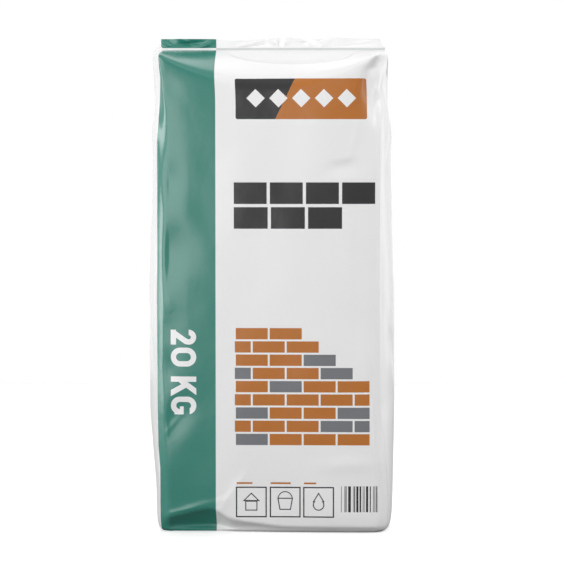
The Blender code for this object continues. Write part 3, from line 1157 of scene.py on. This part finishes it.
    def pictures(self) -> Measure:
        """Three thin frames in a row, with a house, a bucket and a drop in line drawing.

        Returns:
            The signed distance.
        """
        side, low = self.frame_size, self.frame_low
        frames = [self.box(left, left + side, low, low + side) for left in self.frames]
        middles = [self.moved(left + side / 2.0, low + side / 2.0) for left in self.frames]
        first, second, third = (Drawing(place.x, place.y, self.drawing_line) for place in middles)
        return joined([*(frame.less(frame + self.frame_line) for frame in frames),
                       first.house(), second.bucket(), third.drop()])

    def caption_bars(self) -> Measure:
        """A short plain bar above each frame."""
        starts = zip(self.frames, self.caption_lengths)
        return joined([self.box(left + 1.0, left + 1.0 + length, *self.captions_at)
                       for left, length in starts])

    def bar_block(self) -> Measure:
        """A block of upright bars of chance widths.

        Returns:
            The signed distance.
        """
        count = ((self.x - self.bars[0]) * (1.0 / self.bar_step)).whole()
        chance = self.chance(count)
        return ((chance - self.bar_gaps) * 20.0) & self.box(*self.bars)

    def weight(self) -> Measure:
        """The weight, 20 KG, reading down the green band.

        Each letter is placed in millimetres along and up from the left foot of the 2.

        Returns:
            The signed distance.
        """
        letters = Sheet(self.y * -1.0 + self.weight_start, self.x - self.weight_low)
        high, wide = self.letter_height, self.letter_stroke
        half, bend, nought_bend, gee_bend = high / 2.0, 8.6, 10.9, 10.3
        hook = letters.ring((bend, high - bend), bend, 0.0, wide)
        upper, left = letters.y * -1.0 + (high - bend), letters.x * -1.0 + 10.0
        keep = upper | (left & (letters.y * -1.0 + (high - 15.0)))
        slope = letters.stroke((13.6, high - 11.6), (3.2, 3.0), wide)
        two = (hook & keep) | slope | letters.box(0.0, 17.2, 0.0, wide)
        nought = letters.ring((31.5, half), nought_bend, half - nought_bend, wide)
        kay = letters.box(53.8, 53.8 + wide, 0.0, high)
        kay = kay | letters.stroke((59.0, 12.6), (73.4, 32.0), wide)
        kay = kay | letters.stroke((63.6, 17.0), (74.2, -2.0), wide)
        gee = letters.ring((87.4, half), gee_bend, half - gee_bend, wide)
        gee = gee.less(letters.box(88.0, 99.0, half, 21.6))
        gee = gee | letters.box(88.4, 97.7, half - 4.4, half) | letters.box(92.0, 97.7, 4.0, half)
        return (two | nought | kay | gee) & letters.box(-1.0, 99.0, 0.0, high)


def mixed(tree: bpy.types.NodeTree, share: Measure, first: "bpy.types.NodeSocket | Edges",
          second: "bpy.types.NodeSocket | Edges") -> bpy.types.NodeSocket:
    """Mix two colours. A Mix node keeps its colours in inputs 6 and 7 and in output 2.

    Args:
        tree: the node tree.
        share: how much of the second there is.
        first: the first colour, plain or from a node.
        second: the second colour, plain or from a node.

    Returns:
        The mixed colour.
    """
    mix = tree.nodes.new("ShaderNodeMix")
    mix.data_type = "RGBA"
    tree.links.new(share.socket, mix.inputs["Factor"])
    for slot, colour in ((mix.inputs[6], first), (mix.inputs[7], second)):
        if isinstance(colour, tuple):
            slot.default_value = colour
        else:
            tree.links.new(colour, slot)
    return mix.outputs[2]


def print_group(weld: Pair) -> bpy.types.NodeTree:
    """Build the print as a node group that puts out the colour of the film or its ink.

    Its second output is that colour above the weld only, which the film gives out as painted glow to lighten
    the fin.

    Args:
        weld: the weld's lower and upper edge, up the film.

    Returns:
        The node group, with outputs Colour and Thin.
    """
    tree = bpy.data.node_groups.new("sack_print", "ShaderNodeTree")
    for name in ("Colour", "Glow"):
        tree.interface.new_socket(name, in_out="OUTPUT", socket_type="NodeSocketColor")
    place, split = tree.nodes.new("ShaderNodeUVMap"), tree.nodes.new("ShaderNodeSeparateXYZ")
    place.uv_map = "film"
    tree.links.new(place.outputs[0], split.inputs[0])
    across, up = (Measure(tree, split.outputs[axis]) * 1000.0 for axis in "XY")
    colour = Ink.FILM.light()
    for shape, ink in Print(across, up, weld).layers():
        colour = mixed(tree, shape.mask(), colour, ink.light())
    # painted glow: the print's colour above the weld only, which the film gives out as light
    thin = mixed(tree, (up * -1.0 + weld[1]).mask(4.0), (0.0, 0.0, 0.0, 1.0), colour)
    out = tree.nodes.new("NodeGroupOutput")
    tree.links.new(colour, out.inputs[0])
    tree.links.new(thin, out.inputs[1])
    return tree


def seen_apart(tree: bpy.types.NodeTree, seen: bpy.types.Node, unseen: bpy.types.Node,
               output: str) -> None:
    """Show one shader to the camera, and let the light meet another.

    Args:
        tree: the node tree of both.
        seen: the shader that the camera sees.
        unseen: the shader that the light meets.
        output: the name of the tree's output node.
    """
    path, mix = tree.nodes.new("ShaderNodeLightPath"), tree.nodes.new("ShaderNodeMixShader")
    tree.links.new(path.outputs["Is Camera Ray"], mix.inputs[0])
    tree.links.new(unseen.outputs[0], mix.inputs[1])
    tree.links.new(seen.outputs[0], mix.inputs[2])
    tree.links.new(mix.outputs[0], tree.nodes[output].inputs["Surface"])


def relief_group() -> bpy.types.NodeTree:
    """Build the group that film and powder share: a height made of noise of two sizes.

    Height = coarse * (noise(scale) - 0.5) + fine * (noise(fine scale) - 0.5), read at Object coordinates.

    Returns:
        The node group, with inputs Coarse Scale, Coarse, Fine Scale and Fine, and output Height.
    """
    tree = bpy.data.node_groups.new("surface_relief", "ShaderNodeTree")
    for name in ("Coarse Scale", "Coarse", "Fine Scale", "Fine"):
        tree.interface.new_socket(name, in_out="INPUT", socket_type="NodeSocketFloat")
    tree.interface.new_socket("Height", in_out="OUTPUT", socket_type="NodeSocketFloat")
    given, out = tree.nodes.new("NodeGroupInput"), tree.nodes.new("NodeGroupOutput")
    place = tree.nodes.new("ShaderNodeTexCoord")
    parts = []
    for name in ("Coarse", "Fine"):
        noise = tree.nodes.new("ShaderNodeTexNoise")
        tree.links.new(place.outputs["Object"], noise.inputs["Vector"])
        tree.links.new(given.outputs[f"{name} Scale"], noise.inputs["Scale"])
        noise.inputs["Detail"].default_value = 3.0
        parts.append((Measure(tree, noise.outputs[0]) - 0.5) * Measure(tree, given.outputs[name]))
    tree.links.new((parts[0] + parts[1]).socket, out.inputs[0])
    return tree


@dataclass(frozen=True)
class Finish:
    """A plain finish: its colour, how rough it is, and two reliefs, each a scale and a height in metres."""

    colour: Colour
    roughness: float
    coarse: Pair = (0.0, 0.0)
    fine: Pair = (0.0, 0.0)

    def make(self, name: str) -> bpy.types.Material:
        """Make the material with its Principled shader.

        Args:
            name: the material's name.

        Returns:
            The new material.
        """
        made = bpy.data.materials.new(name)
        made.use_nodes = True
        shader = made.node_tree.nodes["Principled BSDF"]
        shader.inputs["Base Color"].default_value = (*self.colour, 1.0)
        shader.inputs["Roughness"].default_value = self.roughness
        if self.coarse[1] or self.fine[1]:
            self.add_relief(made.node_tree, shader)
        return made

    def add_relief(self, tree: bpy.types.NodeTree, shader: bpy.types.Node) -> None:
        """Feed the shared relief into the shader's normal through a Bump node.

        Args:
            tree: the material's node tree.
            shader: its Principled shader.
        """
        relief = tree.nodes.new("ShaderNodeGroup")
        relief.node_tree = bpy.data.node_groups.get("surface_relief") or relief_group()
        for socket, value in zip(relief.inputs, (*self.coarse, *self.fine)):
            socket.default_value = value
        bump = tree.nodes.new("ShaderNodeBump")
        bump.inputs["Distance"].default_value = 1.0
        tree.links.new(relief.outputs[0], bump.inputs["Height"])
        tree.links.new(bump.outputs[0], shader.inputs["Normal"])


@dataclass(frozen=True)
class PrintedFilm(Finish):
    """Glossy film with the sack's print on it. Above the weld it has a little painted glow, an emission that
    lightens the fin.
    """

    weld: Pair = (0.0, 0.0)
    gloss: float = 0.9
    painted_glow: float = 0.05

    def make(self, name: str) -> bpy.types.Material:
        """Make the film's material: the print's colour under one gloss.

        Args:
            name: the material's name.

        Returns:
            The new material.
        """
        made = super().make(name)
        tree = made.node_tree
        shader = tree.nodes["Principled BSDF"]
        layout = tree.nodes.new("ShaderNodeGroup")
        layout.node_tree = print_group(self.weld)
        tree.links.new(layout.outputs[0], shader.inputs["Base Color"])
        # painted glow: the film gives out its print's colour above the weld as light, to lighten the fin
        tree.links.new(layout.outputs[1], shader.inputs["Emission Color"])
        shader.inputs["Emission Strength"].default_value = self.painted_glow
        shader.inputs["Specular IOR Level"].default_value = self.gloss
        return made


# Studio


@dataclass(frozen=True)
class SoftLight:
    """A rectangular area light that looks at the sack's middle. Places and sizes in metres."""

    name: str
    place: Place
    width: float
    height: float
    watts: float
    aim: Place = (0.0, 0.0, 0.3)

    def hang(self) -> None:
        """Add the light to the scene."""
        lamp = bpy.data.lights.new(self.name, "AREA")
        lamp.shape = "RECTANGLE"
        lamp.size, lamp.size_y, lamp.energy = self.width, self.height, self.watts
        made = bpy.data.objects.new(self.name, lamp)
        made.location = self.place
        heading = Vector(self.aim) - Vector(self.place)
        made.rotation_euler = heading.to_track_quat("-Z", "Y").to_euler()
        bpy.context.scene.collection.objects.link(made)


@dataclass
class Studio:
    """A white floor, a white surround, soft lights and the camera."""

    aim: Place = (0.0135, 0.0, 0.2842)
    azimuth: float = 2.0
    elevation: float = 3.0
    distance: float = 2.6
    frame_width: float = 0.6634
    sensor: float = 36.0
    floor_half: float = 1.7
    floor_white: float = 0.92
    floor_glow: float = 0.28
    floor_cast: float = 0.29
    room: float = 0.71
    room_sides: Edges = (-0.12, 0.5, -0.25, -0.1)
    lights: tuple[SoftLight, ...] = field(default_factory=tuple)

    def build(self) -> None:
        """Lay the floor, hang the lights and set the camera."""
        self.lay_floor()
        self.paint_surround()
        for light in self.lights:
            light.hang()
        self.set_camera()
        bpy.context.scene.view_settings.view_transform = "Standard"

    def lay_floor(self) -> None:
        """Lay a wide floor at the sack's base: pale to the camera, and greyer to the light it gives back."""
        mesh = bpy.data.meshes.new("floor")
        half = self.floor_half
        corners = [(-half, -half, 0), (half, -half, 0), (half, half, 0), (-half, half, 0)]
        mesh.from_pydata(corners, [], [(0, 1, 2, 3)])
        white = Finish((self.floor_white,) * 3, 0.9).make("white_floor")
        tree = white.node_tree
        shader = tree.nodes["Principled BSDF"]
        shader.inputs["Emission Color"].default_value = (1, 1, 1, 1)
        shader.inputs["Emission Strength"].default_value = self.floor_glow
        shader.inputs["Specular IOR Level"].default_value = 0.0
        cast = tree.nodes.new("ShaderNodeBsdfDiffuse")
        cast.inputs["Color"].default_value = (*(self.floor_cast,) * 3, 1.0)
        seen_apart(tree, shader, cast, "Material Output")
        mesh.materials.append(white)
        floor = bpy.data.objects.new("floor", mesh)
        bpy.context.scene.collection.objects.link(floor)

    def paint_surround(self) -> None:
        """Give the world a white backdrop, and a light that differs to each side of the room.

        The light in a direction is room + front max(-y, 0) + back max(y, 0) + left max(-x, 0)
        + right max(x, 0).
        """
        world = bpy.data.worlds.new("surround")
        world.use_nodes = True
        tree = world.node_tree
        seen, room = tree.nodes["Background"], tree.nodes.new("ShaderNodeBackground")
        seen.inputs["Color"].default_value = (1, 1, 1, 1)
        place, split = tree.nodes.new("ShaderNodeTexCoord"), tree.nodes.new("ShaderNodeSeparateXYZ")
        tree.links.new(place.outputs["Generated"], split.inputs[0])
        across, deep = Measure(tree, split.outputs["X"]), Measure(tree, split.outputs["Y"])
        light = deep * 0.0 + self.room
        for way, share in zip((deep * -1.0, deep, across * -1.0, across), self.room_sides):
            light = light + way.math("MAXIMUM", 0.0) * share
        tree.links.new(light.socket, room.inputs["Strength"])
        seen_apart(tree, seen, room, "World Output")
        bpy.context.scene.world = world

    def set_camera(self) -> None:
        """Stand the camera off the aim, with a lens whose view is frame_width wide there."""
        lens = bpy.data.cameras.new("camera")
        lens.sensor_width = self.sensor
        lens.lens = self.sensor * self.distance / self.frame_width
        turn, rise = math.radians(self.azimuth), math.radians(self.elevation)
        out = Vector((math.sin(turn) * math.cos(rise), -math.cos(turn) * math.cos(rise), math.sin(rise)))
        camera = bpy.data.objects.new("camera", lens)
        camera.location = Vector(self.aim) + out * self.distance
        camera.rotation_euler = (-out).to_track_quat("-Z", "Y").to_euler()
        bpy.context.scene.collection.objects.link(camera)
        bpy.context.scene.camera = camera


def studio_lights() -> tuple[SoftLight, ...]:
    """Soft boxes round and over the sack. The strongest stand at its left front and high at its right.

    Returns:
        The lights.
    """
    return (
        SoftLight("left_key", (-2.2, -1.7, 0.75), 1.6, 1.6, 18.0),
        SoftLight("left_front", (-1.05, -2.55, 0.55), 1.4, 1.4, 13.0),
        SoftLight("left_side", (-1.85, 0.0, 0.35), 0.62, 0.8, 8.0),
        SoftLight("left_rim", (-1.5, 0.9, 0.7), 0.8, 1.8, 1.0),
        SoftLight("right_fill", (2.3, -1.3, 2.1), 1.4, 1.6, 20.0),
        SoftLight("right_box", (1.8, -0.3, 0.6), 0.35, 1.8, 3.0),
        SoftLight("right_rim", (1.5, 0.9, 0.7), 0.8, 1.8, 4.5),
        SoftLight("high_left", (-1.2, -1.7, 2.5), 1.4, 1.4, 5.0),
        SoftLight("high_right", (1.2, -1.7, 2.5), 1.4, 1.4, 6.0),
        SoftLight("overhead", (0.0, 0.0, 2.2), 1.8, 1.2, 1.0),
        SoftLight("back_top", (0.0, 1.1, 1.9), 1.8, 1.0, 4.0),
    )


def main() -> None:
    logging.basicConfig(level=logging.INFO)
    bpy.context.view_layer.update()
    ripples = (Ripple(seed=11, wavelength=80.0, rise=0.3), Ripple(seed=23, wavelength=36.0, rise=0.07))
    sack = FilmSack(folds=sack_folds(), ripples=ripples)
    film = PrintedFilm(colour=linear(*Ink.FILM.value), roughness=0.25, coarse=(28.0, 0.0006),
                       fine=(160.0, 0.00006), weld=sack.weld_place()).make("film")
    piece = sack.build("printed_sack", film)
    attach(piece, "root")
    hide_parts("film_sack")
    LOG.info("sack: %d faces", len(piece.data.polygons))
    powder = Finish(colour=linear(120, 120, 122), roughness=0.9, coarse=(60.0, 0.002),
                    fine=(900.0, 0.0006)).make("powder")
    fill = CementFill().build("cement_fill", sack, powder)
    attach(fill, "root")
    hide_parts("cement")
    LOG.info("powder: %d faces", len(fill.data.polygons))
    Studio(lights=studio_lights()).build()


if __name__ == "__main__":
    main()
